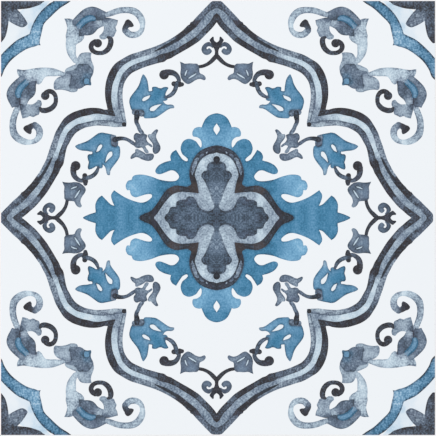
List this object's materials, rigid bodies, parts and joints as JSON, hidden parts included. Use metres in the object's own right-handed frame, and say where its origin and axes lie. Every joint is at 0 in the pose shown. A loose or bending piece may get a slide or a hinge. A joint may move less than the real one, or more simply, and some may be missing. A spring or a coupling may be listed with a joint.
{
  "type": "self-adhesive floor tile",
  "caption": "Thin square self-adhesive vinyl floor tile with a flat patterned face, a full adhesive back and straight butt edges, laid side by side on a smooth subfloor.",
  "frame": {"origin": "centre of the adhesive back, on the surface that the tile lies on", "axes": "+Z out of the printed face, +X to the right of the print and +Y to its top"},
  "size_m": [0.3048, 0.3048, 0.0015],
  "materials": {
    "printed_vinyl": "satin"
  },
  "bodies": {
    "root": {"floor_tile": "printed_vinyl"}
  },
  "joints": []
}
